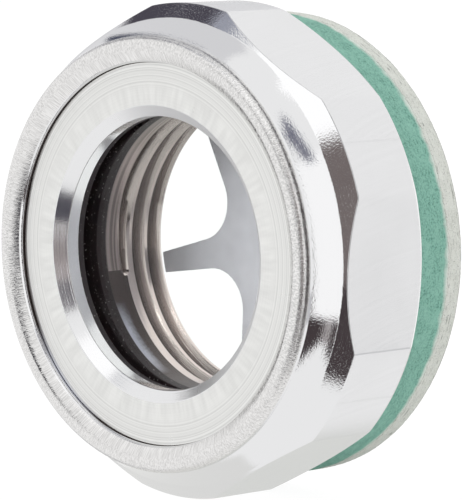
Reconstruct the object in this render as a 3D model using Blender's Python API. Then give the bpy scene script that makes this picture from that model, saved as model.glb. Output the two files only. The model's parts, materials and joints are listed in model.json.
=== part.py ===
"""Sight glass for an oil or fluid connection, modelled as its separate pieces.

A hexagon body with a G 1 internal thread holds a glass disc between two seals. A turned
clamp ring lies on the glass, and the body's front edge is rolled over that ring. A star
shaped reflector sits in the mouth of the bore, and two sealing rings lie round the neck.

Turned pieces are profiles of (radius, height) points. Height runs along a piece's own +Z,
forward from the plane that the rear ring seats on. One empty turns that axis to world -Y,
so the window faces -Y and the seat is the plane Y = 0.
"""

import math

import bmesh
import bpy

MM = 0.001

# Facets, and the room left between pieces that touch
SEGMENTS = 60
ARC_STEP = math.radians(15)
SMOOTH_ANGLE = math.radians(28)
GAP = 0.3 * MM
STACK_GAP = 0.25 * MM

# Sealing rings round the neck, from the seat forward
RING_RADIUS = 24.85 * MM
PALE_RING_THICKNESS = 1.85 * MM
GREEN_RING_THICKNESS = 3.9 * MM

# Body: neck, rim and hexagon
NECK_RADIUS = 20.0 * MM
NECK_END = 1.5 * MM
RIM_RADIUS = 25.36 * MM
RIM_THICKNESS = 0.3 * MM
RIM_STEP = 0.1 * MM
HEX_RADIUS = 26.25 * MM
ACROSS_FLATS = 50.0 * MM
HEX_LENGTH = 9.45 * MM
CHAMFER_LENGTH = 1.66 * MM
SHOULDER_RADIUS = 24.69 * MM

# Body: hollow collar and rolled lip, measured from the clamp ring's front face
FACE_HEIGHT = 20.4 * MM
COLLAR_TURN = math.radians(16)
LIP_RADIUS = 23.0 * MM
LIP_ROUND = 1.1 * MM
LIP_RISE = 0.36 * MM
LIP_ROLL = math.radians(135)
LIP_TIP_RADIUS = 20.35 * MM
LIP_TIP_RISE = 0.22 * MM

# Clamp ring
CLAMP_FACE_INNER = 15.63 * MM
CLAMP_FACE_OUTER = 20.0 * MM
CLAMP_OUTER = 21.2 * MM
CLAMP_BORE = 14.44 * MM
CLAMP_THICKNESS = 2.6 * MM

# Glass and its two seals, stacked in a pocket behind the clamp ring
DISC_RADIUS = 18.1 * MM
FRONT_SEAL_BORE = 14.5 * MM
FRONT_SEAL_THICKNESS = 0.4 * MM
GLASS_THICKNESS = 4.5 * MM
GLASS_CHAMFER = 0.4 * MM
REAR_SEAL_BORE = 15.1 * MM
REAR_SEAL_THICKNESS = 1.0 * MM

# G 1 internal thread, 55 degree form with crest and root cut off by a sixth
THREAD_PITCH = 2.309 * MM
THREAD_CREST = 15.145 * MM
THREAD_ROOT = 16.625 * MM
THREAD_FRONT = 9.6 * MM
THREAD_EXIT = -0.5 * MM
THREAD_FRONT_ANGLE = math.radians(-162)
THREAD_INSIDE = 0.2 * MM
LEAD_IN_LENGTH = 1.3 * MM
LEAD_IN_RADIUS = 15.9 * MM

# Reflector star
STAR_ARMS = 5
STAR_PHASE = math.radians(-166.4)
STAR_RADIUS = 14.8 * MM
STAR_TIP_WIDTH = 2.26 * MM
STAR_TAPER = math.radians(4)
STAR_HUB_RADIUS = 5.75 * MM
STAR_THICKNESS = 0.5 * MM
STAR_BACK = 2.1 * MM
STAR_ARC_STEPS = 8

# Heights that follow from the sizes above
GREEN_RING_BACK = PALE_RING_THICKNESS + GAP
RIM_BACK = GREEN_RING_BACK + GREEN_RING_THICKNESS + GAP
HEX_BACK = RIM_BACK + RIM_THICKNESS
HEX_FRONT = HEX_BACK + HEX_LENGTH
SHOULDER_HEIGHT = HEX_FRONT + CHAMFER_LENGTH
CLAMP_BACK = FACE_HEIGHT - CLAMP_THICKNESS
FRONT_SEAL_TOP = CLAMP_BACK - STACK_GAP
GLASS_TOP = FRONT_SEAL_TOP - FRONT_SEAL_THICKNESS - STACK_GAP
REAR_SEAL_TOP = GLASS_TOP - GLASS_THICKNESS - STACK_GAP
SEAT_HEIGHT = REAR_SEAL_TOP - REAR_SEAL_THICKNESS - STACK_GAP
POCKET_RADIUS = DISC_RADIUS + GAP

# Finishes: colour, roughness and metallic value
FINISHES = {
    "turned_aluminium": ((0.76, 0.76, 0.75), 0.28, 1.0),
    "faced_aluminium": ((0.74, 0.74, 0.73), 0.34, 1.0),
    "grey_seal": ((0.06, 0.055, 0.06), 0.6, 0.0),
    "black_rubber": ((0.012, 0.010, 0.011), 0.45, 0.0),
    "clear_glass": ((0.95, 0.97, 0.97), 0.02, 0.0),
    "anodised_sheet": ((0.43, 0.42, 0.46), 0.42, 0.6),
    "green_fibre": ((0.20, 0.42, 0.34), 0.8, 0.0),
    "pale_fibre": ((0.60, 0.61, 0.56), 0.9, 0.0),
}


def make_material(name):
    """Return the finish as a Principled material."""
    colour, roughness, metallic = FINISHES[name]
    material = bpy.data.materials.new(name)
    material.use_nodes = True
    shader = material.node_tree.nodes["Principled BSDF"]
    shader.inputs["Base Color"].default_value = (*colour, 1.0)
    shader.inputs["Roughness"].default_value = roughness
    shader.inputs["Metallic"].default_value = metallic
    if name == "clear_glass":
        shader.inputs["Transmission Weight"].default_value = 1.0
    return material


def add_object(name, bm, axis, finish=None):
    """Turn a bmesh into an object on the shared axis. With no finish it is a cutter."""
    bmesh.ops.recalc_face_normals(bm, faces=bm.faces)
    mesh = bpy.data.meshes.new(name)
    bm.to_mesh(mesh)
    bm.free()
    mesh.shade_smooth()
    mesh.set_sharp_from_angle(angle=SMOOTH_ANGLE)
    piece = bpy.data.objects.new(name, mesh)
    bpy.context.scene.collection.objects.link(piece)
    piece.parent = axis
    if finish:
        mesh.materials.append(make_material(finish))
    else:
        piece.hide_render = True
        piece.display_type = "WIRE"
    return piece


def cut(piece, cutter):
    """Take the cutter's volume out of the piece."""
    modifier = piece.modifiers.new(cutter.name, "BOOLEAN")
    modifier.operation = "DIFFERENCE"
    modifier.solver = "EXACT"
    modifier.object = cutter


def arc(centre, radius, start, end):
    """Points on an arc in the profile plane, both ends included."""
    steps = math.ceil(abs(end - start) / ARC_STEP)
    angles = [start + (end - start) * step / steps for step in range(steps + 1)]
    return [(centre[0] + radius * math.cos(a), centre[1] + radius * math.sin(a)) for a in angles]


def hollow_arc(start, end, turn):
    """Points of a shallow arc that bends in towards the axis as it climbs."""
    chord = math.dist(start, end)
    radius = chord / (2 * math.sin(turn / 2))
    depth = radius * math.cos(turn / 2)
    along = ((end[0] - start[0]) / chord, (end[1] - start[1]) / chord)
    centre = (
        (start[0] + end[0]) / 2 + along[1] * depth,
        (start[1] + end[1]) / 2 - along[0] * depth,
    )
    first = math.atan2(start[1] - centre[1], start[0] - centre[0])
    return arc(centre, radius, first, first - turn)


def turned(profile):
    """Spin a closed profile of (radius, height) points once round the axis."""
    bm = bmesh.new()
    points = [bm.verts.new((radius, 0.0, height)) for radius, height in profile]
    edges = [bm.edges.new((points[i - 1], points[i])) for i in range(len(points))]
    bmesh.ops.spin(
        bm,
        geom=points + edges,
        cent=(0.0, 0.0, 0.0),
        axis=(0.0, 0.0, 1.0),
        angle=2 * math.pi,
        steps=SEGMENTS,
        use_merge=True,
    )
    return bm


def ring(inner, outer, bottom, top):
    """A plain ring of rectangular section."""
    return turned([(inner, bottom), (outer, bottom), (outer, top), (inner, top)])


def body_profile():
    """The body's section: neck, rim, hexagon bar, collar and lip, then the bore."""
    shoulder = (SHOULDER_RADIUS, SHOULDER_HEIGHT)
    lip_foot = (LIP_RADIUS, FACE_HEIGHT)
    lip_centre = (LIP_RADIUS - LIP_ROUND, FACE_HEIGHT + LIP_RISE)
    # The lip's underside runs along the clamp ring's 45 degree edge
    lip_under = CLAMP_FACE_OUTER + GAP * math.sqrt(2)
    counterbore = CLAMP_OUTER + GAP

    outside = [
        (NECK_RADIUS, NECK_END),
        (NECK_RADIUS, RIM_BACK),
        (RIM_RADIUS, RIM_BACK),
        (RIM_RADIUS, HEX_BACK + RIM_STEP),
        (HEX_RADIUS, HEX_BACK + 2 * RIM_STEP),
        (HEX_RADIUS, HEX_FRONT),
    ]
    outside += hollow_arc(shoulder, lip_foot, COLLAR_TURN)
    outside += arc(lip_centre, LIP_ROUND, 0.0, LIP_ROLL)
    inside = [
        (LIP_TIP_RADIUS, FACE_HEIGHT + LIP_TIP_RISE),
        (lip_under, FACE_HEIGHT),
        (counterbore, FACE_HEIGHT - (counterbore - lip_under)),
        (counterbore, CLAMP_BACK - GAP),
        (POCKET_RADIUS, CLAMP_BACK - GAP),
        (POCKET_RADIUS, SEAT_HEIGHT),
        (THREAD_CREST, SEAT_HEIGHT),
        (THREAD_CREST, NECK_END + LEAD_IN_LENGTH),
        (LEAD_IN_RADIUS, NECK_END),
    ]
    return outside + inside


def flats_cutter():
    """A ring with a hexagon hole, which leaves the wrench flats."""
    bm = bmesh.new()
    corner = ACROSS_FLATS / math.sqrt(3)
    outer = 2 * HEX_RADIUS
    loops = []
    for radius, height in (
        (corner, HEX_BACK),
        (outer, HEX_BACK),
        (outer, FACE_HEIGHT),
        (corner, FACE_HEIGHT),
    ):
        loop = []
        for k in range(6):
            angle = math.radians(60 * k + 30)
            loop.append(bm.verts.new((radius * math.cos(angle), radius * math.sin(angle), height)))
        loops.append(loop)
    for i, loop in enumerate(loops):
        for k in range(6):
            bm.faces.new((loops[i - 1][k - 1], loops[i - 1][k], loop[k], loop[k - 1]))
    return bm


def thread_cutter():
    """A right-hand coil whose section is one groove of the thread."""
    crest_width = THREAD_PITCH * 5 / 6
    root_width = THREAD_PITCH / 6
    slope = (crest_width - root_width) / (THREAD_ROOT - THREAD_CREST)
    mouth_width = crest_width + slope * THREAD_INSIDE
    section = [
        (THREAD_CREST - THREAD_INSIDE, -mouth_width / 2),
        (THREAD_ROOT, -root_width / 2),
        (THREAD_ROOT, root_width / 2),
        (THREAD_CREST - THREAD_INSIDE, mouth_width / 2),
    ]
    steps = math.ceil(SEGMENTS * (THREAD_FRONT - THREAD_EXIT) / THREAD_PITCH)
    bm = bmesh.new()
    loops = []
    for step in range(steps + 1):
        angle = THREAD_FRONT_ANGLE - 2 * math.pi * step / SEGMENTS
        height = THREAD_FRONT - THREAD_PITCH * step / SEGMENTS
        loop = []
        for radius, offset in section:
            loop.append(bm.verts.new((radius * math.cos(angle), radius * math.sin(angle), height + offset)))
        loops.append(loop)
    for near, far in zip(loops, loops[1:]):
        for i in range(len(section)):
            bm.faces.new((near[i - 1], near[i], far[i], far[i - 1]))
    bm.faces.new(loops[0])
    bm.faces.new(loops[-1])
    return bm


def star_outline():
    """The reflector's edge: tapered arms joined by round fillets at the hub."""
    half_pitch = math.pi / STAR_ARMS
    half_window = half_pitch + STAR_TAPER
    root_half_width = STAR_TIP_WIDTH / 2 + STAR_RADIUS * math.tan(STAR_TAPER)
    # The arms' edges would meet here, between two arms, with no fillet
    apex = root_half_width * math.cos(STAR_TAPER) / math.sin(half_window)
    fillet = (STAR_HUB_RADIUS - apex) / (1 / math.sin(half_window) - 1)
    fillet_distance = apex + fillet / math.sin(half_window)
    fillet_sweep = math.pi / 2 - half_window
    tip_turn = math.asin(STAR_TIP_WIDTH / 2 / STAR_RADIUS)

    points = []
    for arm in range(STAR_ARMS):
        middle = STAR_PHASE + 2 * half_pitch * arm
        for angle in (middle - tip_turn, middle, middle + tip_turn):
            points.append((STAR_RADIUS * math.cos(angle), STAR_RADIUS * math.sin(angle)))
        between = middle + half_pitch
        centre = (fillet_distance * math.cos(between), fillet_distance * math.sin(between))
        for step in range(STAR_ARC_STEPS + 1):
            turn = fillet_sweep * (1 - 2 * step / STAR_ARC_STEPS)
            angle = between + math.pi + turn
            points.append((centre[0] + fillet * math.cos(angle), centre[1] + fillet * math.sin(angle)))
    return points


def make_body(axis):
    body = add_object("body", turned(body_profile()), axis, "turned_aluminium")
    cut(body, add_object("flats_cutter", flats_cutter(), axis))
    cut(body, add_object("thread_cutter", thread_cutter(), axis))


def make_clamp_ring(axis):
    edge = CLAMP_OUTER - CLAMP_FACE_OUTER
    mouth = CLAMP_FACE_INNER - CLAMP_BORE
    profile = [
        (CLAMP_FACE_INNER, FACE_HEIGHT),
        (CLAMP_FACE_OUTER, FACE_HEIGHT),
        (CLAMP_OUTER, FACE_HEIGHT - edge),
        (CLAMP_OUTER, CLAMP_BACK),
        (CLAMP_BORE, CLAMP_BACK),
        (CLAMP_BORE, FACE_HEIGHT - mouth),
    ]
    add_object("clamp_ring", turned(profile), axis, "faced_aluminium")


def make_glass_disc(axis):
    bm = bmesh.new()
    bmesh.ops.create_cone(
        bm,
        cap_ends=True,
        segments=SEGMENTS,
        radius1=DISC_RADIUS,
        radius2=DISC_RADIUS,
        depth=GLASS_THICKNESS,
    )
    bmesh.ops.translate(bm, verts=bm.verts, vec=(0.0, 0.0, GLASS_TOP - GLASS_THICKNESS / 2))
    caps = [face for face in bm.faces if len(face.verts) == SEGMENTS]
    rim = {edge for face in caps for edge in face.edges}
    bmesh.ops.bevel(bm, geom=list(rim), offset=GLASS_CHAMFER, segments=1, affect="EDGES")
    add_object("glass_disc", bm, axis, "clear_glass")


def make_seals(axis):
    front = ring(FRONT_SEAL_BORE, DISC_RADIUS, FRONT_SEAL_TOP - FRONT_SEAL_THICKNESS, FRONT_SEAL_TOP)
    add_object("front_seal", front, axis, "grey_seal")
    rear = ring(REAR_SEAL_BORE, DISC_RADIUS, REAR_SEAL_TOP - REAR_SEAL_THICKNESS, REAR_SEAL_TOP)
    add_object("rear_seal", rear, axis, "black_rubber")


def make_reflector(axis):
    bm = bmesh.new()
    face = bm.faces.new([bm.verts.new((x, y, STAR_BACK)) for x, y in star_outline()])
    raised = bmesh.ops.extrude_face_region(bm, geom=[face], use_keep_orig=True)
    top = [item for item in raised["geom"] if isinstance(item, bmesh.types.BMVert)]
    bmesh.ops.translate(bm, verts=top, vec=(0.0, 0.0, STAR_THICKNESS))
    add_object("reflector", bm, axis, "anodised_sheet")


def make_sealing_rings(axis):
    bore = NECK_RADIUS + GAP
    green = ring(bore, RING_RADIUS, GREEN_RING_BACK, GREEN_RING_BACK + GREEN_RING_THICKNESS)
    add_object("green_sealing_ring", green, axis, "green_fibre")
    pale = ring(bore, RING_RADIUS, 0.0, PALE_RING_THICKNESS)
    add_object("pale_fibre_ring", pale, axis, "pale_fibre")


def main():
    for old in list(bpy.data.objects):
        bpy.data.objects.remove(old, do_unlink=True)
    axis = bpy.data.objects.new("axis", None)
    axis.rotation_euler = (math.pi / 2, 0.0, 0.0)
    bpy.context.scene.collection.objects.link(axis)
    make_body(axis)
    make_clamp_ring(axis)
    make_glass_disc(axis)
    make_seals(axis)
    make_reflector(axis)
    make_sealing_rings(axis)


main()
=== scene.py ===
"""Sight glass: the fine shapes, finishes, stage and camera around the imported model.

Turned pieces are profiles of (radius, height) points spun round the Y axis. Height runs
forward from the plane that the rear ring seats on, so a point's Y is minus its height.
"""

import json
import math

import bmesh
import bpy
from mathutils import Matrix, Vector, noise


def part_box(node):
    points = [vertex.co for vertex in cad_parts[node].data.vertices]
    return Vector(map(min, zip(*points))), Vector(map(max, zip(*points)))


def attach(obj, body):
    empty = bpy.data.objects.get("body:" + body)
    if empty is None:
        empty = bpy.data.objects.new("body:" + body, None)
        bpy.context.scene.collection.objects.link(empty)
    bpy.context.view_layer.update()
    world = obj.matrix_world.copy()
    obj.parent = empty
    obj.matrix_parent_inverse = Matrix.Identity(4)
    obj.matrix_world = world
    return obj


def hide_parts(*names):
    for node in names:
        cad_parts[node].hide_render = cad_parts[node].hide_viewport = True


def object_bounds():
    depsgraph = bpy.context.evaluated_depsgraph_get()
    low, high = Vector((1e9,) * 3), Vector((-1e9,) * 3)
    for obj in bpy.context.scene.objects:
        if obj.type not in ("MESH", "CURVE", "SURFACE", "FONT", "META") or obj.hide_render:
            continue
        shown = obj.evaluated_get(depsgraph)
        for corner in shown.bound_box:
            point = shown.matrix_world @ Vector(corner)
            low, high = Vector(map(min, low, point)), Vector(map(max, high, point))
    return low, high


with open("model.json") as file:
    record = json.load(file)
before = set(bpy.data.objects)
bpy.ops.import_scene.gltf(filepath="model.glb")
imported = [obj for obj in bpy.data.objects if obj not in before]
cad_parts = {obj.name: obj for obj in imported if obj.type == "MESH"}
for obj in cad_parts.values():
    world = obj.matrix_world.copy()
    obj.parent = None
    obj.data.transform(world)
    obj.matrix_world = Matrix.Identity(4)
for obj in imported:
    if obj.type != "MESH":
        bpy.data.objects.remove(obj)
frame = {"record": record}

bl_info = {
    "name": "Sight Glass",
    "version": (1, 0, 0),
    "blender": (4, 5, 0),
    "location": "View3D > Sidebar > Sight Glass",
    "description": "Builds a crimped sight glass with its finishes and a studio stage",
    "category": "Add Mesh",
}

CAD_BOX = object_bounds()
BOXES = {part["node"]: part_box(part["node"]) for part in frame["record"]["subparts"]}
MM = 0.001
BODY = "root"
FULL_TURN = 2 * math.pi

# Facets
COLUMNS = 288
FIBRE_COLUMNS = 900
ROUND_STEPS = 4
SMOOTH_ANGLE = math.radians(24)


def linear(code):
    """Turn an sRGB hex colour into the linear values that Blender works with."""
    values = []
    for start in (1, 3, 5):
        part = int(code[start:start + 2], 16) / 255
        values.append(part / 12.92 if part <= 0.04045 else ((part + 0.055) / 1.055) ** 2.4)
    return tuple(values)


def front_of(node):
    """Height of a node's front face above the seat."""
    return -BOXES[node][0].y


def back_of(node):
    """Height of a node's rear face above the seat."""
    return -BOXES[node][1].y


def radius_of(node):
    """Outer radius of a node."""
    return BOXES[node][1].z


# Sizes and colours that a user would change


def length(name, description, default):
    """A length property in metres."""
    return bpy.props.FloatProperty(
        name=name, description=description, default=default, unit="LENGTH", precision=5
    )


def colour(name, description, code):
    """A colour property from a hex code."""
    return bpy.props.FloatVectorProperty(
        name=name, description=description, default=linear(code), subtype="COLOR", min=0.0, max=1.0
    )


class SightGlassSizes(bpy.types.PropertyGroup):
    """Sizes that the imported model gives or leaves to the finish."""

    hex_radius: length("Hexagon radius", "Turned radius of the hexagon's corners", radius_of("body"))
    across_flats: length("Across flats", "Distance between two opposite wrench flats", 50.0 * MM)
    edge_round: length("Edge round", "Rounding of the machined edges", 0.06 * MM)
    lip_round: length("Lip round", "Radius of the rolled lip's crown", 1.1 * MM)
    mill_spacing: length("Mill mark spacing", "Distance between the milling marks on a flat", 0.45 * MM)
    turn_spacing: length("Turning mark spacing", "Distance between the tool's rings", 0.2 * MM)
    streak_width: length("Rolling streak width", "Width of the streaks across the lip", 0.11 * MM)
    fibre_length: length("Fibre length", "Length of the sealing rings' fibres", 0.9 * MM)
    fray: length("Fray", "How far the sealing rings' edges wander", 0.25 * MM)


class SightGlassColours(bpy.types.PropertyGroup):
    """Colours of the finishes."""

    aluminium: colour("Aluminium", "Machined aluminium", "#E7E7E8")
    lip: colour("Lip", "Rolled aluminium", "#E4E3E2")
    face: colour("Clamp ring", "Lathe-faced aluminium", "#E4E4E2")
    thread: colour("Thread", "Bored and threaded aluminium", "#D6CBC6")
    # Painted highlight of the plain bore
    plain_bore_highlight: colour("Plain bore", "Painted highlight on the plain bore", "#CFD1DC")
    band: colour("Dull bore", "Bored aluminium beside the thread's front end", "#9A8F8B")
    # Painted shade over the plain bore
    grime_and_painted_shade: colour("Painted bore shade", "Painted shade over the plain bore", "#5A5250")
    seal_grey: colour("Front seal", "Thin seal under the clamp ring", "#3A3537")
    seal_black: colour("Rear seal", "Rubber seal behind the glass", "#2A1E20")
    glass: colour("Glass", "Tint of the glass", "#FBFDFC")
    reflector: colour("Reflector", "Anodised sheet", "#E4E3EA")
    green_light: colour("Green ring, light", "Raised fibres of the green ring", "#96C8B7")
    green_dark: colour("Green ring, dark", "Ground colour of the green ring", "#56877A")
    pale_light: colour("Pale ring, light", "Raised fibres of the pale ring", "#E4E6E0")
    pale_dark: colour("Pale ring, dark", "Hollows of the pale ring", "#BFC2BA")
    dust: colour("Dust", "Pale dust on the rubber", "#9A9593")
    floor: colour("Floor", "Studio floor", "#F6F6F5")


def sizes():
    return bpy.context.scene.sight_glass_sizes


def colours():
    return bpy.context.scene.sight_glass_colours


# Meshes


def new_piece(name, vertices, faces, materials, zones=None):
    """Make an object from vertices and faces. Zones give each face's material."""
    mesh = bpy.data.meshes.new(name)
    mesh.from_pydata(vertices, [], faces)
    for material in materials:
        mesh.materials.append(material)
    if zones:
        mesh.polygons.foreach_set("material_index", zones)
    mesh.shade_smooth()
    mesh.set_sharp_from_angle(angle=SMOOTH_ANGLE)
    if zones:
        sharpen_zones(mesh)
    piece = bpy.data.objects.new(name, mesh)
    bpy.context.scene.collection.objects.link(piece)
    return piece


def sharpen_zones(mesh):
    """Make an edge sharp where one finish ends and another starts."""
    touching = {}
    for polygon in mesh.polygons:
        for key in polygon.edge_keys:
            touching.setdefault(key, set()).add(polygon.material_index)
    for edge in mesh.edges:
        if len(touching[edge.key]) > 1:
            edge.use_edge_sharp = True


def dress(piece, node):
    """Put a piece in a node's place and on its body, and hide the node's imported part."""
    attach(piece, BODY)
    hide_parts(node)


def arc(centre, radius, start, end, steps):
    """Points on an arc in the profile plane, both ends included."""
    angles = [start + (end - start) * step / steps for step in range(steps + 1)]
    return [(centre[0] + radius * math.cos(a), centre[1] + radius * math.sin(a)) for a in angles]


def onward(points, start, end, radius, steps):
    """Points of an arc that starts at the last of some points."""
    r, h = points[-1]
    centre = (r - radius * math.cos(start), h - radius * math.sin(start))
    return arc(centre, radius, start, end, steps)


def hollow_arc(start, end, turn, steps):
    """Points of a shallow arc that bends in towards the axis as it climbs."""
    chord = math.dist(start, end)
    radius = chord / (2 * math.sin(turn / 2))
    depth = radius * math.cos(turn / 2)
    along = ((end[0] - start[0]) / chord, (end[1] - start[1]) / chord)
    centre = (
        (start[0] + end[0]) / 2 + along[1] * depth,
        (start[1] + end[1]) / 2 - along[0] * depth,
    )
    first = math.atan2(start[1] - centre[1], start[0] - centre[0])
    return arc(centre, radius, first, first - turn, steps)


def rounded(corners):
    """Round the corners of a closed profile.

    A corner is (radius, height, rounding, zone), and its zone holds up to the next corner.
    The result is a list of (radius, height, zone), as long for any sizes. A rounding takes up
    no more than a share of a side. A guard point just outside each of its ends keeps the
    shading of the straight stretches flat.
    """
    side_share = 0.4
    guard = 1.2
    points = []
    for i, (radius, height, rounding, zone) in enumerate(corners):
        if rounding == 0:
            points.append((radius, height, zone))
            continue
        here = Vector((radius, height))
        before = Vector(corners[i - 1][:2]) - here
        after = Vector(corners[(i + 1) % len(corners)][:2]) - here
        first = before.normalized() * min(rounding, side_share * before.length)
        last = after.normalized() * min(rounding, side_share * after.length)
        offsets = [first * guard]
        for step in range(ROUND_STEPS + 1):
            t = step / ROUND_STEPS
            offsets.append(first * (1 - t) ** 2 + last * t ** 2)
        offsets.append(last * guard)
        zones = [corners[i - 1][3]] + [zone] * (len(offsets) - 1)
        points += [(radius + offset.x, height + offset.y, side) for offset, side in zip(offsets, zones)]
    return points


def spun(name, profile_at, angles, materials, slip=0, first_slipped=0):
    """Spin a closed profile round the axis. The profile may change with the angle.

    A thread's rows climb as they go round: from row first_slipped on, the last column
    joins the first one so many rows further along. Points that coincide become one.
    """
    profiles = [profile_at(angle) for angle in angles]
    vertices = []
    columns = []
    for angle, profile in zip(angles, profiles):
        column = []
        before = None
        for r, h, _ in profile:
            if (r, h) != before:
                vertices.append((r * math.cos(angle), -h, r * math.sin(angle)))
            column.append(len(vertices) - 1)
            before = (r, h)
        columns.append(column)
    rows = len(profiles[0])
    first = columns[0]
    climbed = first[:first_slipped] + [first[first_slipped]] * slip + first[first_slipped:rows - slip]
    faces = []
    zones = []
    for near, far, profile in zip(columns, columns[1:] + [climbed], profiles):
        for row in range(rows):
            above = (row + 1) % rows
            face = tuple(dict.fromkeys((near[row], far[row], far[above], near[above])))
            if len(face) > 2:
                faces.append(face)
                zones.append(profile[row][2])
    return new_piece(name, vertices, faces, materials, zones)


def even_angles(columns=COLUMNS):
    return [FULL_TURN * column / columns for column in range(columns)]


# Materials


def add_node(tree, kind, inputs, **settings):
    """Add a node. An input is a value, an output socket, or a node to link from."""
    made = tree.nodes.new(kind)
    for key, value in settings.items():
        setattr(made, key, value)
    for key, value in inputs.items():
        if isinstance(value, bpy.types.Node):
            value = next(socket for socket in value.outputs if socket.enabled)
        if isinstance(value, bpy.types.NodeSocket):
            tree.links.new(value, made.inputs[key])
        else:
            made.inputs[key].default_value = value
    return made


def new_material(name, **values):
    """Start a material and set the values that are the same all over it."""
    material = bpy.data.materials.new(name)
    material.use_nodes = True
    tree = material.node_tree
    shader = tree.nodes["Principled BSDF"]
    for key, value in values.items():
        socket = shader.inputs[key.replace("_", " ")]
        socket.default_value = (*value, 1.0) if socket.type == "RGBA" else value
    return material, tree, shader


def connect(tree, shader, **nodes):
    """Link nodes to the shader's inputs."""
    for key, node in nodes.items():
        output = next(socket for socket in node.outputs if socket.enabled)
        tree.links.new(output, shader.inputs[key.replace("_", " ")])


def place_in(tree):
    """Where a point lies: its position and radius in millimetres, and its bearing round the axis.

    A pattern on the position has so many features in a millimetre as its scale says.
    """
    place = add_node(tree, "ShaderNodeTexCoord", {}).outputs["Object"]
    position = add_node(tree, "ShaderNodeVectorMath", {0: place, "Scale": 1 / MM}, operation="SCALE")
    flat = {0: position, 1: (1.0, 0.0, 1.0)}
    across = add_node(tree, "ShaderNodeVectorMath", flat, operation="MULTIPLY")
    radius = add_node(tree, "ShaderNodeVectorMath", {0: across}, operation="LENGTH")
    bearing = add_node(tree, "ShaderNodeVectorMath", {0: across}, operation="NORMALIZE")
    return position, radius, bearing


def streak_noise(tree, place, count, along, detail):
    """Noise with so many features once round the axis, and so many in a millimetre along a profile."""
    position, radius, bearing = place
    round_scale = {0: bearing, "Scale": count / FULL_TURN}
    turn = add_node(tree, "ShaderNodeVectorMath", round_scale, operation="SCALE")
    climb = {0: position, 1: (0.0, along, 0.0), 2: turn}
    vector = add_node(tree, "ShaderNodeVectorMath", climb, operation="MULTIPLY_ADD")
    depth = add_node(tree, "ShaderNodeMath", {0: radius, 1: along}, operation="MULTIPLY")
    look = {"Vector": vector, "W": depth, "Scale": 1.0, "Detail": detail}
    return add_node(tree, "ShaderNodeTexNoise", look, noise_dimensions="4D")


def tinted(tree, pattern, low, high, start, end, most=1.0):
    """Mix from one colour to another as a pattern goes from low to high, up to a share."""
    span = {"Value": pattern, "From Min": low, "From Max": high, "To Max": most}
    share = add_node(tree, "ShaderNodeMapRange", span)
    ends = [value if isinstance(value, bpy.types.Node) else (*value, 1.0) for value in (start, end)]
    return add_node(tree, "ShaderNodeMix", {0: share, 6: ends[0], 7: ends[1]}, data_type="RGBA")


def facing(tree, bearing, degrees):
    """How far a point lies on one side of the axis, from -1 to 1."""
    side = math.radians(degrees)
    pair = {0: bearing, 1: (math.cos(side), 0.0, math.sin(side))}
    return add_node(tree, "ShaderNodeVectorMath", pair, operation="DOT_PRODUCT")


def scaled(value, factor):
    """A colour made darker or lighter, within the range that a surface can reflect."""
    return tuple(min(part * factor, 0.98) for part in value)


def milled_aluminium():
    """Aluminium bar with milled flats: satin, with faint arcs that the cutter left."""
    base = colours().aluminium
    material, tree, shader = new_material("milled_aluminium_bar", Base_Color=base, Metallic=1.0)
    position, _, _ = place_in(tree)
    # The cutter is much wider than a flat, so its marks are arcs about a far centre
    flat = add_node(tree, "ShaderNodeAttribute", {}, attribute_name="flat_place").outputs["Vector"]
    far_centre = (-42.0, 2.0, 0.0)
    reach = add_node(tree, "ShaderNodeVectorMath", {0: flat, 1: far_centre}, operation="DISTANCE")
    feed = {"W": reach, "Scale": MM / sizes().mill_spacing, "Detail": 1.0}
    marks = add_node(tree, "ShaderNodeTexNoise", feed, noise_dimensions="1D")
    side = add_node(tree, "ShaderNodeSeparateXYZ", {0: flat})
    off = add_node(tree, "ShaderNodeMath", {0: side}, operation="ABSOLUTE")
    flat_end = {"Value": off, "From Min": 7.6, "From Max": 7.9, "To Min": 1.0, "To Max": 0.0}
    milled = add_node(tree, "ShaderNodeMapRange", flat_end)
    grain = add_node(tree, "ShaderNodeTexNoise", {"Vector": position, "Scale": 3.0, "Detail": 3.0})
    patch = add_node(tree, "ShaderNodeTexNoise", {"Vector": position, "Scale": 0.14, "Detail": 2.0})
    satin = add_node(tree, "ShaderNodeMapRange", {"Value": patch, "To Min": 0.16, "To Max": 0.3})
    cut = {"Height": marks, "Distance": 0.007 * MM, "Strength": milled}
    arcs = add_node(tree, "ShaderNodeBump", cut)
    bump = add_node(tree, "ShaderNodeBump", {"Height": grain, "Distance": 0.002 * MM, "Normal": arcs})
    tint = tinted(tree, marks, 0.3, 0.7, scaled(base, 0.985), base)
    connect(tree, shader, Base_Color=tint, Roughness=satin, Normal=bump)
    return material


def turned_aluminium(name, roughness, grain_height, feed_height):
    """Turned aluminium: near mirror, broken up by fine grains and by the tool's rings."""
    base = colours().aluminium
    material, tree, shader = new_material(name, Base_Color=base, Metallic=1.0, Roughness=roughness)
    position, radius, _ = place_in(tree)
    grain = add_node(tree, "ShaderNodeTexNoise", {"Vector": position, "Scale": 5.5, "Detail": 2.0})
    spacing = {"W": radius, "Scale": MM / sizes().turn_spacing, "Detail": 2.0}
    feed = add_node(tree, "ShaderNodeTexNoise", spacing, noise_dimensions="1D")
    grains = add_node(tree, "ShaderNodeBump", {"Height": grain, "Distance": grain_height * MM})
    marks = {"Height": feed, "Distance": feed_height * MM, "Normal": grains}
    connect(tree, shader, Normal=add_node(tree, "ShaderNodeBump", marks))
    return material


def bored_aluminium():
    """Aluminium mouth bored at an angle: bright, and duller on the side that cloths rub."""
    bright = 0.14
    material = turned_aluminium("bored_aluminium_mouth", bright, grain_height=0.004, feed_height=0.006)
    tree = material.node_tree
    _, _, bearing = place_in(tree)
    rubbed = facing(tree, bearing, 25)
    span = {"Value": rubbed, "From Min": -0.15, "From Max": 0.4, "To Min": bright, "To Max": 0.6}
    dull = add_node(tree, "ShaderNodeMapRange", span)
    connect(tree, tree.nodes["Principled BSDF"], Roughness=dull)
    return material


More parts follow.
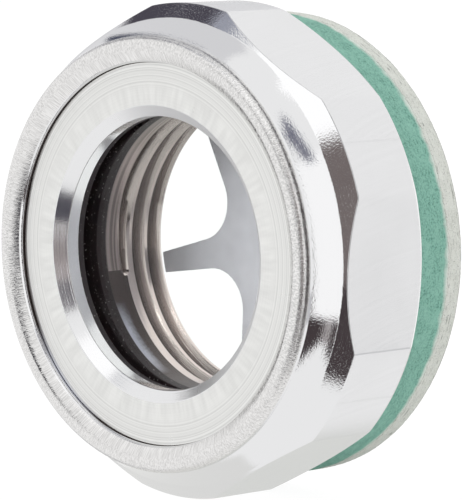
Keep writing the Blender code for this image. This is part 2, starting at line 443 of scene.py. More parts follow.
def rolled_aluminium(name, streak_length, streak_height, dent_height, smooth, dull):
    """Aluminium pressed over by a roller: bright, broken up by streaks across the lip."""
    base = colours().lip
    material, tree, shader = new_material(name, Base_Color=base, Metallic=1.0)
    place = place_in(tree)
    # The streaks are drawn about twice as wide as the real ones, so that they show
    lip_middle = 21.5 * MM
    count = FULL_TURN * lip_middle / sizes().streak_width
    fine = streak_noise(tree, place, count, 1 / streak_length, 2.0)
    broad = streak_noise(tree, place, count / 6, 1.2, 2.0)
    satin = add_node(tree, "ShaderNodeMapRange", {"Value": broad, "To Min": smooth, "To Max": dull})
    dents = add_node(tree, "ShaderNodeBump", {"Height": broad, "Distance": dent_height * MM})
    streaks = {"Height": fine, "Distance": streak_height * MM, "Normal": dents}
    bump = add_node(tree, "ShaderNodeBump", streaks)
    tint = tinted(tree, fine, 0.34, 0.62, scaled(base, 0.82), scaled(base, 1.07))
    connect(tree, shader, Base_Color=tint, Roughness=satin, Normal=bump)
    return material


def painted_highlight_side(tree, bearing, low, high, plain, clean):
    """Painted highlight: mix to a lighter colour (the clean one) on the lower left side of the bore."""
    return tinted(tree, facing(tree, bearing, -132), low, high, plain, clean)


def threaded_aluminium():
    """Aluminium bored and threaded: warmer and duller than the outside, with tool rings."""
    base = colours().thread
    material, tree, shader = new_material("threaded_aluminium_bore", Base_Color=base, Metallic=1.0)
    place = place_in(tree)
    scuffs = streak_noise(tree, place, 14, 2.2, 1.0)
    rings = streak_noise(tree, place, 5, 6.0, 1.0)
    dull = add_node(tree, "ShaderNodeMapRange", {"Value": scuffs, "To Min": 0.14, "To Max": 0.28})
    bump = add_node(tree, "ShaderNodeBump", {"Height": rings, "Distance": 0.02 * MM})
    # Painted highlight: the crests are lighter on the lower left side of the bore and darker above.
    # Painted shade: the colour darkens towards the roots.
    crest = painted_highlight_side(tree, place[2], 0.5, 0.97, scaled(base, 0.62), scaled(base, 1.15))
    depth = tinted(tree, place[1], 15.2, 16.4, crest, scaled(base, 0.45))
    connect(tree, shader, Base_Color=depth, Roughness=dull, Normal=bump)
    return material


def painted_shade_aluminium():
    """Bored aluminium beside a rubber seal: darkened all over as painted shade, with a painted highlight
    on one side next to the seal.
    """
    clean = colours().plain_bore_highlight
    grime_and_painted_shade = colours().grime_and_painted_shade
    material, tree, shader = new_material(
        "painted_shade_aluminium_bore", Base_Color=grime_and_painted_shade, Metallic=1.0, Roughness=0.28
    )
    position, _, bearing = place_in(tree)
    height = add_node(tree, "ShaderNodeSeparateXYZ", {0: position}).outputs["Y"]
    blots = add_node(tree, "ShaderNodeTexNoise", {"Vector": position, "Scale": 3.0, "Detail": 3.0})
    ragged = add_node(tree, "ShaderNodeMath", {0: blots, 1: 0.8, 2: height}, operation="MULTIPLY_ADD")
    seat = -back_of("rear_seal") / MM + 0.7
    # Painted highlight on the lower left side next to the seal; painted shade over the rest of the plain
    # bore
    band = painted_highlight_side(tree, bearing, 0.94, 0.995, grime_and_painted_shade, clean)
    stain_and_painted_shade = tinted(tree, ragged, seat + 0.3, seat + 1.4, band, grime_and_painted_shade)
    connect(tree, shader, Base_Color=stain_and_painted_shade)
    return material


def dull_brown_aluminium():
    """Bored aluminium in a dull brown grey, with the boring tool's rings."""
    base = colours().band
    material, tree, shader = new_material(
        "dull_brown_aluminium_bore", Base_Color=base, Metallic=1.0, Roughness=0.28
    )
    rings = streak_noise(tree, place_in(tree), 5, 4.0, 1.0)
    bump = add_node(tree, "ShaderNodeBump", {"Height": rings, "Distance": 0.03 * MM})
    ring_tone = tinted(tree, rings, 0.35, 0.65, scaled(base, 0.6), scaled(base, 1.2))
    connect(tree, shader, Base_Color=ring_tone, Normal=bump)
    return material


def faced_aluminium():
    """Aluminium faced on a lathe: rings from the tool, clearest near the outer edge."""
    base = colours().face
    material, tree, shader = new_material(
        "lathe_faced_aluminium", Base_Color=base, Metallic=1.0, Anisotropic=0.35
    )
    place = place_in(tree)
    radius = place[1]
    spacing = {"W": radius, "Scale": MM / sizes().turn_spacing, "Detail": 2.0}
    rings = add_node(tree, "ShaderNodeTexNoise", spacing, noise_dimensions="1D")
    edge = {"Value": radius, "From Min": 17.3, "From Max": 18.4, "To Min": 0.12, "To Max": 1.0}
    outer = add_node(tree, "ShaderNodeMapRange", edge)
    chatter = streak_noise(tree, place, 130, 0.3, 2.0)
    ring_tint = tinted(tree, rings, 0.35, 0.6, scaled(base, 0.86), scaled(base, 1.06))
    mottle = tinted(tree, chatter, 0.35, 0.65, scaled(base, 0.94), scaled(base, 1.07))
    mixed = add_node(tree, "ShaderNodeMix", {0: outer, 6: mottle, 7: ring_tint}, data_type="RGBA")
    satin = add_node(tree, "ShaderNodeMapRange", {"Value": chatter, "To Min": 0.22, "To Max": 0.4})
    depth = 0.012 * MM
    grooves = add_node(tree, "ShaderNodeBump", {"Height": rings, "Distance": depth, "Strength": outer})
    bump = add_node(tree, "ShaderNodeBump", {"Height": chatter, "Distance": depth, "Normal": grooves})
    tangent = add_node(tree, "ShaderNodeTangent", {}, direction_type="RADIAL", axis="Y")
    connect(tree, shader, Base_Color=mixed, Roughness=satin, Normal=bump, Tangent=tangent)
    return material


def moulded_rubber(name, base, roughness):
    """Moulded rubber: dull, with a fine grain and a little pale dust."""
    material, tree, shader = new_material(
        name, Base_Color=base, Roughness=roughness, Specular_IOR_Level=0.3
    )
    position, _, _ = place_in(tree)
    grain = add_node(tree, "ShaderNodeTexNoise", {"Vector": position, "Scale": 6.0, "Detail": 2.0})
    # Dust grains are drawn about twice their real size, so that they show
    dust = add_node(tree, "ShaderNodeTexNoise", {"Vector": position, "Scale": 4.5, "Detail": 0.0})
    bump = add_node(tree, "ShaderNodeBump", {"Height": grain, "Distance": 0.008 * MM})
    dusty = tinted(tree, dust, 0.77, 0.8, base, colours().dust)
    connect(tree, shader, Base_Color=dusty, Normal=bump)
    return material


def coated_glass():
    """Clear polished glass with an anti-glare coat: it bends light but hardly mirrors."""
    material, tree, shader = new_material(
        "coated_clear_glass",
        Base_Color=colours().glass,
        IOR=1.5,
        Transmission_Weight=1.0,
        Specular_Tint=linear("#272731"),
    )
    position, _, _ = place_in(tree)
    wipes = add_node(tree, "ShaderNodeTexNoise", {"Vector": position, "Scale": 0.3, "Detail": 4.0})
    haze = add_node(tree, "ShaderNodeMapRange", {"Value": wipes, "To Min": 0.0, "To Max": 0.015})
    connect(tree, shader, Roughness=haze)
    return material


def anodised_sheet():
    """Thin aluminium sheet, anodised matte: an even lilac grey with a fine tooth."""
    base = colours().reflector
    material, tree, shader = new_material("matte_anodised_sheet", Base_Color=base)
    position, _, _ = place_in(tree)
    tooth = add_node(tree, "ShaderNodeTexNoise", {"Vector": position, "Scale": 5.0, "Detail": 2.0})
    cloud = add_node(tree, "ShaderNodeTexNoise", {"Vector": position, "Scale": 0.4, "Detail": 2.0})
    matte = add_node(tree, "ShaderNodeMapRange", {"Value": tooth, "To Min": 0.34, "To Max": 0.46})
    bump = add_node(tree, "ShaderNodeBump", {"Height": tooth, "Distance": 0.006 * MM})
    clouded = tinted(tree, cloud, 0.3, 0.7, scaled(base, 0.95), scaled(base, 1.05))
    connect(tree, shader, Base_Color=clouded, Roughness=matte, Normal=bump)
    return material


def pressed_fibre(name, light, dark, specks, stain, stain_height, stain_reach):
    """Gasket sheet pressed from fibres: matte and granular, its cut edge specked and cracked."""
    material, tree, shader = new_material(name, Base_Color=light, Roughness=0.9, Specular_IOR_Level=0.2)
    place = place_in(tree)
    position = place[0]
    count = FULL_TURN * radius_of("pale_fibre_ring") / sizes().fibre_length
    strands = streak_noise(tree, place, count, 3.5, 4.0)
    cracks = streak_noise(tree, place, count * 0.7, 4.5, 3.0)
    cloud = add_node(tree, "ShaderNodeTexNoise", {"Vector": position, "Scale": 0.6, "Detail": 4.0})
    # Grit is drawn about twice its real size, so that it shows
    grit = add_node(tree, "ShaderNodeTexNoise", {"Vector": position, "Scale": 5.0, "Detail": 2.0})
    grime_and_painted_shade = scaled(dark, 0.3)
    ground = tinted(tree, grit, 0.3, 0.7, dark, light)
    felted = tinted(tree, strands, 0.4, 1.0, ground, light)
    clouded = tinted(tree, cloud, 0.42, 1.0, felted, light)
    # The stain is a colour near a height: on the green ring, the pale ring's colour rubbed off at the
    # joint; on the pale ring, a darker band at its rear edge
    height = add_node(tree, "ShaderNodeSeparateXYZ", {0: position}).outputs["Y"]
    edge = {0: cloud, 1: 2.0 * stain_reach, 2: height}
    ragged = add_node(tree, "ShaderNodeMath", edge, operation="MULTIPLY_ADD")
    stain_and_painted_shade = tinted(tree, ragged, -stain_height, stain_reach - stain_height, clouded, stain, 0.85)
    cracked = tinted(tree, cracks, 0.6, 0.68, stain_and_painted_shade, grime_and_painted_shade, specks)
    spotted = tinted(tree, grit, 0.6, 0.7, cracked, grime_and_painted_shade, specks)
    rough = add_node(tree, "ShaderNodeBump", {"Height": strands, "Distance": 0.06 * MM})
    bump = add_node(tree, "ShaderNodeBump", {"Height": grit, "Distance": 0.06 * MM, "Normal": rough})
    connect(tree, shader, Base_Color=spotted, Normal=bump)
    return material


# Pieces

# The body's thread
PITCH = 2.309 * MM
GROOVE_HALF = 0.41 * PITCH
FLANK = 0.32 * PITCH
THREAD_START = math.radians(-163.6)
# Rows in one pitch, as shares of it back from a groove's middle: crest, flank, root and flank again
HALF_ROWS = (0.07, 0.09, 0.11, 0.25, 0.39, 0.41, 0.43)
THREAD_ROWS = tuple(-share for share in reversed(HALF_ROWS)) + HALF_ROWS
TURNS_IN_FRONT = 2
TURNS_BEHIND = 6


def from_flat(angle):
    """Angle from the middle of the nearest wrench flat."""
    return (angle + math.pi / 6) % (math.pi / 3) - math.pi / 6


def hexagon_angles():
    """Even columns, with close ones at the edges of the flats."""
    angles = even_angles()
    half = math.acos(sizes().across_flats / 2 / sizes().hex_radius)
    close = math.radians(0.18)
    for flat in range(6):
        for edge in (flat * math.pi / 3 - half, flat * math.pi / 3 + half):
            away = [abs((a - edge + math.pi) % FULL_TURN - math.pi) for a in angles]
            angles = [a for a, gap in zip(angles, away) if gap > 2.5 * close]
            angles += [(edge + step * close) % FULL_TURN for step in (-2, -1, 0, 1, 2)]
    return sorted(angles, key=lambda a: (a - THREAD_START) % FULL_TURN)


def side_radius(angle):
    """Radius of the hexagon's side at an angle, with its corners a little rounded."""
    flat = sizes().across_flats / 2 / math.cos(from_flat(angle))
    sharp = 0.025 * MM
    gap = flat - sizes().hex_radius
    return sizes().hex_radius + (gap - math.sqrt(gap * gap + sharp * sharp)) / 2


def first_groove(angle):
    """How far round the thread has come since its front end, in turns, and its height there."""
    front_height = 8.44 * MM
    turned_by = ((THREAD_START - angle) / FULL_TURN) % 1.0
    return turned_by, front_height - PITCH * turned_by


def groove_depth(angle, height):
    """Depth of the thread's groove, from 0 at a crest to 1 at a root."""
    start_ramp = 0.004
    start_depth = 0.4
    deepening = 0.3
    turned_by, front = first_groove(angle)
    turn = max(round((front - height) / PITCH), 0)
    across = abs(height - front + PITCH * turn)
    if across > GROOVE_HALF:
        return 0.0
    depth = min((GROOVE_HALF - across) / FLANK, 1.0)
    if turn == 0:
        reached = min(turned_by / start_ramp, start_depth + turned_by / deepening, 1.0)
        depth = max(depth + reached - 1.0, 0.0)
    return depth


# The body's finishes, in the order of its materials
HEX, CHAMFER, COLLAR, LIP, SLOPE, BORE, LAND, BAND = range(8)


def body_profile(angle):
    """The body's section at an angle: neck, rim, hexagon, collar and lip, then the bore."""
    edge = sizes().edge_round
    side = side_radius(angle)
    face = front_of("clamp_ring")
    rim_back = front_of("green_sealing_ring") + 0.08 * MM
    rim_radius = 24.86 * MM
    bright_edge = (0.1 * MM, 0.28 * MM)
    hex_back = rim_back + 0.95 * (side - bright_edge[0] - rim_radius)
    hex_front = 16.1 * MM
    shoulder = (24.69 * MM, hex_front + 1.66 * MM)
    chamfer_slope = (shoulder[1] - hex_front) / (sizes().hex_radius - shoulder[0])
    side_front = hex_front + (sizes().hex_radius - side) * chamfer_slope
    lip_foot = (23.0 * MM, face)
    lip_round = sizes().lip_round
    lip_centre = (lip_foot[0] - lip_round, face + 0.36 * MM)
    # The lip flattens from its crown into a slope, which ends in a steep edge above a wall darkened as
    # painted shade
    crown_end = math.radians(119)
    crown = arc(lip_centre, lip_round, 0.0, crown_end, 18)
    slope = onward(crown, crown_end, math.radians(128.8), 7.18 * MM, 10)
    tip = onward(slope, math.radians(142), math.radians(165), 1.0 * MM, 4)
    under = (20.22 * MM, face - 0.03 * MM)
    counterbore = radius_of("clamp_ring") + 0.1 * MM
    pocket = radius_of("glass_disc") + 0.1 * MM
    pocket_front = back_of("clamp_ring") - 0.05 * MM
    seat = back_of("rear_seal") - 0.2 * MM
    neck = 20.0 * MM
    neck_end = back_of("body")

    corners = [
        (neck, neck_end, 2 * edge, HEX),
        (neck, rim_back, 0, HEX),
        (rim_radius, rim_back, 0, HEX),
        (side - bright_edge[0], hex_back, 0.5 * edge, HEX),
        (side, hex_back + bright_edge[1], 0.5 * edge, HEX),
        (side, side_front, edge, CHAMFER),
    ]
    collar = hollow_arc(shoulder, lip_foot, math.radians(9), 12)
    corners += [(*collar[0], 0.1 * MM, COLLAR)]
    corners += [(r, h, 0, COLLAR) for r, h in collar[1:]]
    corners += [(r, h, 0, LIP) for r, h in crown[:-1]]
    corners += [(r, h, 0, SLOPE) for r, h in slope[:-1]]
    corners += [(r, h, 0, COLLAR) for r, h in tip[:-1]]
    corners += [
        # The wall under the lip's edge takes the plain bore's finish: painted shade in the gap over the
        # clamp ring
        (*tip[-1], 0, LAND),
        (tip[-1][0], face + 0.1 * MM, 0, LAND),
        (*under, 0, BORE),
        (counterbore, under[1] - (counterbore - under[0]), 0, BORE),
        (counterbore, pocket_front, 0, BORE),
        (pocket, pocket_front, 0, BORE),
        (pocket, seat, 0, BORE),
    ]
    return rounded(corners) + bore_profile(angle, seat, neck_end)


def bore_zone(turned_by, place, plain):
    """Finish of a row in the bore, whose place is in pitches behind the first groove's middle."""
    last_part = 0.7
    clean_front = -0.9
    band_start = 0.006
    # Beside the thread's end, half a pitch of clean metal lies in front of its next turn
    if turned_by > last_part:
        return LAND if place < clean_front else BORE
    if place < THREAD_ROWS[1] or (plain and place < 0):
        return BAND if turned_by > band_start else LAND
    return BORE


def bore_profile(angle, seat, neck_end):
    """The bore's section from the seat to the mouth, with rows that follow the thread."""
    crest = 15.145 * MM
    root = 16.625 * MM
    mouth_length = 1.3 * MM
    mouth_radius = 15.9 * MM
    turned_by, front = first_groove(angle)
    points = [(crest, seat, LAND)]
    for turn in range(-TURNS_IN_FRONT, TURNS_BEHIND):
        for share in THREAD_ROWS:
            height = min(max(front - PITCH * (turn + share), neck_end), seat)
            cut = crest + (root - crest) * groove_depth(angle, height)
            mouth = mouth_radius - (mouth_radius - crest) * (height - neck_end) / mouth_length
            zone = bore_zone(turned_by, turn + share, cut == crest)
            points.append((max(cut, mouth), height, zone))
    # The same point again, so that the rear face has the outside's finish
    points.append((*points[-1][:2], HEX))
    return points


class SIGHTGLASS_OT_body(bpy.types.Operator):
    """Build the hexagon body with its rolled lip and threaded bore"""

    bl_idname = "sightglass.body"
    bl_label = "Body"

    def execute(self, context):
        feed = 0.001
        turned = turned_aluminium("fine_turned_aluminium", 0.06, grain_height=0.007, feed_height=feed)
        chamfer = turned_aluminium("grained_aluminium_chamfer", 0.07, grain_height=0.009, feed_height=feed)
        crown = rolled_aluminium("rolled_aluminium_crown", 0.25, 0.045, 0.03, smooth=0.16, dull=0.3)
        slope = rolled_aluminium("burnished_aluminium_slope", 1.2, 0.035, 0.01, smooth=0.05, dull=0.1)
        bore = [threaded_aluminium(), painted_shade_aluminium(), dull_brown_aluminium()]
        materials = [milled_aluminium(), chamfer, turned, crown, slope, *bore]
        angles = hexagon_angles()
        bore_rows = (TURNS_IN_FRONT + TURNS_BEHIND) * len(THREAD_ROWS) + 1
        first_bore_row = len(body_profile(angles[0])) - bore_rows
        piece = spun("hexagon_body", body_profile, angles, materials, len(THREAD_ROWS), first_bore_row)
        # Where a point lies on its flat: along the flat, then forward, in millimetres
        places = []
        for vertex in piece.data.vertices:
            x, y, z = vertex.co
            along = math.hypot(x, z) * math.sin(from_flat(math.atan2(z, x)))
            places += [along / MM, -y / MM, 0.0]
        attribute = piece.data.attributes.new("flat_place", "FLOAT_VECTOR", "POINT")
        attribute.data.foreach_set("vector", places)
        dress(piece, "body")
        return {"FINISHED"}


class SIGHTGLASS_OT_clamp_ring(bpy.types.Operator):
    """Build the turned ring that holds the glass down"""

    bl_idname = "sightglass.clamp_ring"
    bl_label = "Clamp Ring"

    def execute(self, context):
        front = front_of("clamp_ring")
        back = back_of("clamp_ring")
        outer = radius_of("clamp_ring")
        bore = 14.44 * MM
        mouth_edge = 15.63 * MM
        mouth_depth = 1.05 * MM
        face_edge = 20.14 * MM
        edge = 0.05 * MM
        faced, mouth = range(2)
        corners = [
            (bore, back, edge, faced),
            (outer, back, 0, faced),
            (outer, front - (outer - face_edge), 0, faced),
            (face_edge, front, edge, faced),
            (mouth_edge, front, edge, mouth),
            (bore, front - mouth_depth, 0.08 * MM, mouth),
        ]
        profile = rounded(corners)
        materials = [faced_aluminium(), bored_aluminium()]
        dress(spun("faced_clamp_ring", lambda angle: profile, even_angles(), materials), "clamp_ring")
        return {"FINISHED"}


class SIGHTGLASS_OT_seals(bpy.types.Operator):
    """Build the two seals that the glass lies between"""

    bl_idname = "sightglass.seals"
    bl_label = "Seals"

    def execute(self, context):
        squeeze = 0.2 * MM
        edge = 0.1 * MM
        grey = moulded_rubber("moulded_grey_rubber", colours().seal_grey, 0.6)
        black = moulded_rubber("moulded_black_rubber", colours().seal_black, 0.4)
        for name, node, bore, material in (
            ("front_gasket", "front_seal", 14.5 * MM, grey),
            ("rear_gasket", "rear_seal", 15.1 * MM, black),
        ):
            front = front_of(node) + squeeze
            back = back_of(node) - squeeze
            outer = radius_of(node)
            outside = [(outer, back, 0, 0), (outer, front, 0, 0)]
            profile = rounded([(bore, back, edge, 0), *outside, (bore, front, edge, 0)])
            dress(spun(name, lambda angle: profile, even_angles(), [material]), node)
        return {"FINISHED"}


class SIGHTGLASS_OT_glass(bpy.types.Operator):
    """Build the glass disc"""

    bl_idname = "sightglass.glass"
    bl_label = "Glass Disc"

    def execute(self, context):
        front = front_of("glass_disc")
        back = back_of("glass_disc")
        outer = radius_of("glass_disc")
        chamfer = 0.4 * MM
        inner = outer - chamfer
        outline = [(inner, back), (outer, back + chamfer), (outer, front - chamfer), (inner, front)]
        vertices = []
        for r, h in outline:
            vertices += [(r * math.cos(a), -h, r * math.sin(a)) for a in even_angles()]
        faces = [tuple(reversed(range(COLUMNS))), tuple(range(3 * COLUMNS, 4 * COLUMNS))]
        for low in range(0, 3 * COLUMNS, COLUMNS):
            for column in range(COLUMNS):
                after = (column + 1) % COLUMNS
                high = low + COLUMNS
                faces.append((low + column, low + after, high + after, high + column))
        disc = new_piece("clear_glass_disc", vertices, faces, [coated_glass()])
        disc.visible_shadow = False
        dress(disc, "glass_disc")
        return {"FINISHED"}


def star_outline():
    """The reflector's edge: tapered arms joined by round fillets at the hub."""
    arms = 5
    phase = math.radians(-166.4)
    radius = 14.95 * MM
    half_tip = 1.13 * MM
    taper = math.radians(4)
    hub = 5.75 * MM
    half_pitch = math.pi / arms
    half_window = half_pitch + taper
    root_half = half_tip + radius * math.tan(taper)
    apex = root_half * math.cos(taper) / math.sin(half_window)
    fillet = (hub - apex) / (1 / math.sin(half_window) - 1)
    distance = apex + fillet / math.sin(half_window)
    sweep = math.pi / 2 - half_window
    tip_turn = math.asin(half_tip / radius)
    points = []
    for arm in range(arms):
        middle = phase + 2 * half_pitch * arm
        points += arc((0.0, 0.0), radius, middle - tip_turn, middle + tip_turn, 6)
        between = middle + half_pitch
        centre = (distance * math.cos(between), distance * math.sin(between))
        points += arc(centre, fillet, between + math.pi + sweep, between + math.pi - sweep, 24)
    return points


class SIGHTGLASS_OT_reflector(bpy.types.Operator):
    """Build the star-shaped reflector plate"""

    bl_idname = "sightglass.reflector"
    bl_label = "Reflector"

    def execute(self, context):
        front = front_of("reflector")
        back = back_of("reflector")
        bevel = 0.06 * MM
        bm = bmesh.new()
        face = bm.faces.new([bm.verts.new((x, -back, z)) for x, z in star_outline()])
        raised = bmesh.ops.extrude_face_region(bm, geom=[face], use_keep_orig=True)
        top = [item for item in raised["geom"] if isinstance(item, bmesh.types.BMVert)]
        bmesh.ops.translate(bm, verts=top, vec=(0.0, back - front, 0.0))
        bmesh.ops.recalc_face_normals(bm, faces=bm.faces)
        rim = [edge for edge in bm.edges if edge.verts[0].co.y == edge.verts[1].co.y]
        bmesh.ops.bevel(bm, geom=rim, offset=bevel, segments=2, profile=0.5, affect="EDGES")
        bm.verts.index_update()
        vertices = [tuple(vertex.co) for vertex in bm.verts]
        faces = [tuple(vertex.index for vertex in item.verts) for item in bm.faces]
        bm.free()
        dress(new_piece("star_reflector", vertices, faces, [anodised_sheet()]), "reflector")
        return {"FINISHED"}


def ring_section(bore, rim, low, high, low_edge, high_edge):
    """A ring's square section, with its two outer edges rounded."""
    outside = [(rim, low, low_edge, 0), (rim, high, high_edge, 0)]
    return rounded([(bore, low, 0, 0), *outside, (bore, high, 0, 0)])


def wander(angle, seed):
    """A random value of about -1 to 1 that closes on itself round the axis."""
    value = 0.0
    for size, share in ((9, 0.5), (45, 0.5), (160, 0.6)):
        value += share * noise.noise(Vector((math.cos(angle) * size, math.sin(angle) * size, seed)))
    return value


class SIGHTGLASS_OT_sealing_rings(bpy.types.Operator):
    """Build the green and the pale ring round the neck"""

    bl_idname = "sightglass.sealing_rings"
    bl_label = "Sealing Rings"

    def execute(self, context):
        bore = 20.1 * MM
        outer = radius_of("pale_fibre_ring")
        front = front_of("green_sealing_ring") + 0.06 * MM
        joint = (back_of("green_sealing_ring") + front_of("pale_fibre_ring")) / 2
        half_gap = 0.02 * MM
        edge = 0.06 * MM
        joint_seed, green_seed, pale_seed = 7.3, 3.5, 1.7
        fray = sizes().fray

        def green_profile(angle):
            low = joint + half_gap + fray * wander(angle, joint_seed)
            rim = outer + 0.04 * MM * wander(angle, green_seed)
            return ring_section(bore, rim, low, front, edge, edge)

        def pale_profile(angle):
            high = joint - half_gap + fray * wander(angle, joint_seed)
            rim = outer + 0.05 * MM * wander(angle, pale_seed)
            return ring_section(bore, rim, 0.0, high, 0.1 * MM, edge)

        look = colours()
        rubbed_off = dict(stain=look.pale_light, stain_height=joint / MM, stain_reach=0.6)
        # The pale ring darkens towards its rear edge
        darker_rear_edge = dict(stain=scaled(look.pale_dark, 0.5), stain_height=0.0, stain_reach=0.2)
        names = ("pressed_green_fibre", "pressed_pale_fibre")
        green = pressed_fibre(names[0], look.green_light, look.green_dark, specks=0.2, **rubbed_off)
        pale = pressed_fibre(names[1], look.pale_light, look.pale_dark, specks=0.6, **darker_rear_edge)
        angles = even_angles(FIBRE_COLUMNS)
        dress(spun("green_gasket", green_profile, angles, [green]), "green_sealing_ring")
        dress(spun("pale_gasket", pale_profile, angles, [pale]), "pale_fibre_ring")
        return {"FINISHED"}


# Stage

# Cards that only mirrors see: corners as (azimuth, elevation) in degrees, then their colour
CARDS = {
    "camera_upper": (((46.8, -10), (57, -10), (50, 40), (37, 40)), "#7B7271"),
    "camera_lower": (((42, -44), (57, -44), (57, -10), (46.8, -10)), "#4A4244"),
    "bench_top": (((28, 14), (43, 14), (38.5, 29), (22.5, 29)), "#6C686E"),
    "bench_upper": (((33.5, -10), (46.8, -10), (43, 14), (28, 14)), "#ABA2A1"),
    "bench_lower": (((33.5, -16), (46, -16), (46.8, -10), (33.5, -10)), "#A9A09E"),
    "bench_foot": (((26, -31), (42, -31), (46, -16), (30, -16)), "#4E4C56"),
    "lamp_foot_left": (((60, -42), (65.5, -37), (65.5, -23.5), (60, -23.5)), "#4A4244"),
    "lamp_foot_middle": (((65.5, -35), (70, -33), (70, -24), (65.5, -24)), "#B4AFAF"),
    "lamp_foot_right": (((70, -33), (85, -50), (85, -24), (70, -24)), "#4A4244"),
    "lamp_head": (((62.5, 40), (68.5, 41), (75, 56), (64, 66)), "#80818F"),
    "right": (((79, -42), (120, -42), (120, 50), (79, 60)), "#5A5556"),
    "upper_left": (((-107, 26.5), (-98.5, 24.5), (-69, 55), (-75, 63)), "#4F4C56"),
    "upper_left_end": (((-69, 52), (-72, 63), (-30, 66), (-27, 54)), "#A3A6B2"),
    "far_left_edge": (((-124, 14), (-117, 14), (-109.5, 64), (-116, 64)), "#4C5060"),
    "lower_left": (((-120, -23), (-113, -18), (-82, -50), (-88, -57)), "#D2D2D6"),
    "low_right_edge": (((126, -24), (154, -24), (154, -13), (126, -13)), "#CDCDD0"),
    "tripod": (((16, -27), (30, -33), (33, 6), (20, 4)), "#646367"),
    "tripod_leg": (((16.7, 3), (23.6, 4.1), (1.7, 22.7), (-5.6, 17.5)), "#57565A"),
    "tripod_arm": (((-5.6, 17.5), (1.7, 22.7), (-15.8, 33.3), (-19.6, 26.3)), "#57565A"),
    "boom_right": (((88, 44), (115, 42), (139, 62), (97, 69)), "#4A484E"),
    "boom_top": (((97, 69), (139, 62), (194, 65), (202, 81.6)), "#4A484E"),
    "boom_left": (((202, 81.6), (194, 65), (224, 47.7), (240, 60)), "#4C5060"),
    "far_left": (((-140, 5), (-104, 5), (-50, 78), (-140, 78)), "#E4E4E6"),
    "far_low": (((-180, -60), (-128, -60), (-128, -14), (-180, -14)), "#E4E5E2"),
    "low_left": (((-128, -80), (-50, -80), (-104, -22), (-128, -22)), "#ECECEA"),
}

# Bright cards where mirrors would see the lamps, with their brightness
LAMP_CARDS = {
    "lamp_right": (((57, -23.5), (79, -23.5), (79, 42), (54, 42)), 1.14),
    "lamp_top": (((-25, 42), (46, 42), (40, 72), (-25, 72)), 1.25),
    "lamp_back": (((164, -20), (190, -20), (190, 10), (164, 10)), 1.25),
}


def direction(azimuth, elevation):
    """Unit vector towards a place round the object. Azimuth 0 is in front, 90 to the right."""
    a = math.radians(azimuth)
    e = math.radians(elevation)
    return Vector((math.sin(a) * math.cos(e), -math.cos(a) * math.cos(e), math.sin(e)))


def add_camera():
    """The photograph's camera: a long lens, a little above the axis and turned a little."""
    centre = Vector((0.03, -9.0, -0.34)) * MM
    distance = 428.75 * MM
    azimuth, elevation, tilt = 44.64, 7.03, 1.42
    camera = bpy.data.cameras.new("photo_camera")
    camera.sensor_width = 36.0
    camera.lens = 289.0
    camera.clip_start = 0.01
    holder = bpy.data.objects.new("photo_camera", camera)
    bpy.context.scene.collection.objects.link(holder)
    back = direction(azimuth, elevation)
    turn = back.to_track_quat("Z", "Y").to_matrix().to_4x4()
    roll = Matrix.Rotation(math.radians(tilt), 4, "Z")
    holder.matrix_world = Matrix.Translation(centre + back * distance) @ turn @ roll
    bpy.context.scene.camera = holder


def add_softbox(name, azimuth, elevation, width, height, radiance):
    """A rectangular lamp that faces the object. Mirrors see a card in its place."""
    distance = 0.9
    lamp = bpy.data.lights.new(name, "AREA")
    lamp.shape = "RECTANGLE"
    lamp.size = width
    lamp.size_y = height
    lamp.energy = radiance * math.pi * width * height
    holder = bpy.data.objects.new(name, lamp)
    holder.visible_glossy = False
    bpy.context.scene.collection.objects.link(holder)
    towards = direction(azimuth, elevation)
    turn = towards.to_track_quat("Z", "Y").to_matrix().to_4x4()
    holder.matrix_world = Matrix.Translation(towards * distance) @ turn


def studio_card(name, code, strength):
    """Card in the studio: it glows in its colour, and a dark one is mottled as a cluttered room is."""
    tone = linear(code)
    dark = 0.5
    material, tree, shader = new_material(
        "studio_card_" + name,
        Base_Color=(0.0, 0.0, 0.0),
        Roughness=1.0,
        Specular_IOR_Level=0.0,
        Emission_Color=tone,
        Emission_Strength=strength,
    )
    if max(tone) < dark:
        place = add_node(tree, "ShaderNodeTexCoord", {}).outputs["Object"]
        clutter_size = 0.008
        look = {"Vector": place, "Scale": 1 / clutter_size, "Detail": 3.0}
        clutter = add_node(tree, "ShaderNodeTexNoise", look)
        mottle = tinted(tree, clutter, 0.3, 0.7, scaled(tone, 0.6), scaled(tone, 1.4))
        connect(tree, shader, Emission_Color=mottle)
    return material


def add_card(name, corners, material, distance):
    """A curved card that only mirrors see."""
    steps = 8
    vertices = []
    for i in range(steps + 1):
        for j in range(steps + 1):
            low = Vector(corners[0]).lerp(Vector(corners[1]), i / steps)
            high = Vector(corners[3]).lerp(Vector(corners[2]), i / steps)
            vertices.append(direction(*low.lerp(high, j / steps)) * distance)
    faces = []
    for i in range(steps):
        for j in range(steps):
            first = i * (steps + 1) + j
            faces.append((first, first + 1, first + steps + 2, first + steps + 1))
    card = new_piece("card_" + name, vertices, faces, [material])
    card.visible_camera = False
    card.visible_diffuse = False
    card.visible_transmission = False
    card.visible_shadow = False


def seen_directly(tree):
    """1 for what the camera, a mirror or glass sees, and 0 for light on a surface."""
    path = add_node(tree, "ShaderNodeLightPath", {}).outputs
    pair = {0: path["Is Camera Ray"], 1: path["Is Glossy Ray"]}
    both = add_node(tree, "ShaderNodeMath", pair, operation="ADD")
    third = {0: both, 1: path["Is Transmission Ray"]}
    return add_node(tree, "ShaderNodeMath", third, operation="ADD", use_clamp=True)


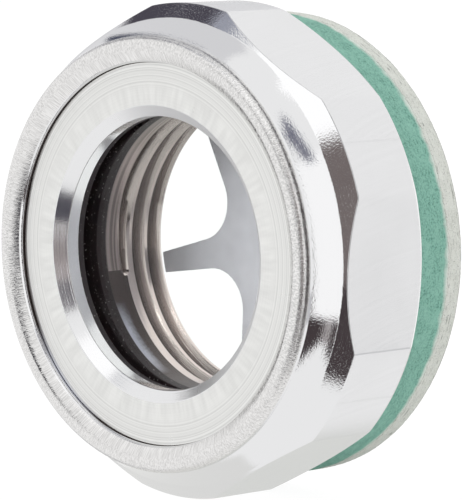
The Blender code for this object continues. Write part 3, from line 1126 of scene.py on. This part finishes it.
def light_world():
    """A white surround, which lights the object more softly than it shows."""
    world = bpy.data.worlds.new("white_surround")
    world.use_nodes = True
    tree = world.node_tree
    background = tree.nodes["Background"]
    background.inputs["Color"].default_value = (1.0, 1.0, 1.0, 1.0)
    levels = {"Value": seen_directly(tree), "To Min": 0.75, "To Max": 1.0}
    level = add_node(tree, "ShaderNodeMapRange", levels)
    tree.links.new(level.outputs["Result"], background.inputs["Strength"])
    bpy.context.scene.world = world


def pale_floor():
    """Painted floor: white to the camera, with a faint shadow under the object."""
    paint = colours().floor
    material, tree, shader = new_material("painted_pale_floor", Base_Color=paint, Roughness=0.9)
    glow = add_node(tree, "ShaderNodeEmission", {"Color": (1.0, 1.0, 1.0, 1.0), "Strength": 1.08})
    share = add_node(tree, "ShaderNodeMapRange", {"Value": seen_directly(tree), "To Max": 0.88})
    mixed = add_node(tree, "ShaderNodeMixShader", {0: share, 1: shader, 2: glow})
    tree.links.new(mixed.outputs["Shader"], tree.nodes["Material Output"].inputs["Surface"])
    return material


class SIGHTGLASS_OT_stage(bpy.types.Operator):
    """Set up the floor, the lamps, the cards and the camera"""

    bl_idname = "sightglass.stage"
    bl_label = "Stage"

    def execute(self, context):
        context.scene.view_settings.view_transform = "Standard"
        low = CAD_BOX[0].z
        half = 2.0
        corners = [(-half, -half, low), (half, -half, low), (half, half, low), (-half, half, low)]
        floor = new_piece("floor", corners, [(0, 1, 2, 3)], [pale_floor()])
        # The metal mirrors the studio's cards, also the ones below the table's level
        floor.visible_glossy = False
        # A card hides the ones that come after it in the list, and the lamps' cards
        nearest = 0.6
        step = 0.01
        lamp_distance = 0.85
        for place, (name, (outline, code)) in enumerate(CARDS.items()):
            add_card(name, outline, studio_card(name, code, 1.0), nearest + step * place)
        for name, (outline, strength) in LAMP_CARDS.items():
            add_card(name, outline, studio_card(name, "#FFFFFF", strength), lamp_distance)
        add_softbox("lamp_right", 68, 9, width=0.33, height=1.1, radiance=0.6)
        add_softbox("lamp_top", 15, 62, width=0.8, height=0.8, radiance=1.0)
        add_softbox("lamp_back", 176, 20, width=0.8, height=0.8, radiance=0.4)
        # This one shines into the bore, on to the reflector
        add_softbox("lamp_front", -20, 8, width=0.5, height=0.5, radiance=4.0)
        light_world()
        add_camera()
        return {"FINISHED"}


OPERATORS = (
    SIGHTGLASS_OT_stage,
    SIGHTGLASS_OT_body,
    SIGHTGLASS_OT_clamp_ring,
    SIGHTGLASS_OT_seals,
    SIGHTGLASS_OT_glass,
    SIGHTGLASS_OT_reflector,
    SIGHTGLASS_OT_sealing_rings,
)


class SIGHTGLASS_PT_sidebar(bpy.types.Panel):
    """Sizes, colours and build steps of the sight glass"""

    bl_label = "Sight Glass"
    bl_idname = "SIGHTGLASS_PT_sidebar"
    bl_space_type = "VIEW_3D"
    bl_region_type = "UI"
    bl_category = "Sight Glass"

    def draw(self, context):
        for group in (sizes(), colours()):
            box = self.layout.box()
            for name in group.bl_rna.properties.keys():
                if name not in ("rna_type", "name"):
                    box.prop(group, name)
        for operator in OPERATORS:
            self.layout.operator(operator.bl_idname)


CLASSES = (SightGlassSizes, SightGlassColours, *OPERATORS, SIGHTGLASS_PT_sidebar)


def register():
    for item in CLASSES:
        bpy.utils.register_class(item)
    bpy.types.Scene.sight_glass_sizes = bpy.props.PointerProperty(type=SightGlassSizes)
    bpy.types.Scene.sight_glass_colours = bpy.props.PointerProperty(type=SightGlassColours)


def unregister():
    del bpy.types.Scene.sight_glass_colours
    del bpy.types.Scene.sight_glass_sizes
    for item in reversed(CLASSES):
        bpy.utils.unregister_class(item)


def main():
    register()
    bpy.ops.sightglass.stage()
    bpy.ops.sightglass.body()
    bpy.ops.sightglass.clamp_ring()
    bpy.ops.sightglass.seals()
    bpy.ops.sightglass.glass()
    bpy.ops.sightglass.reflector()
    bpy.ops.sightglass.sealing_rings()


if __name__ == "__main__":
    main()
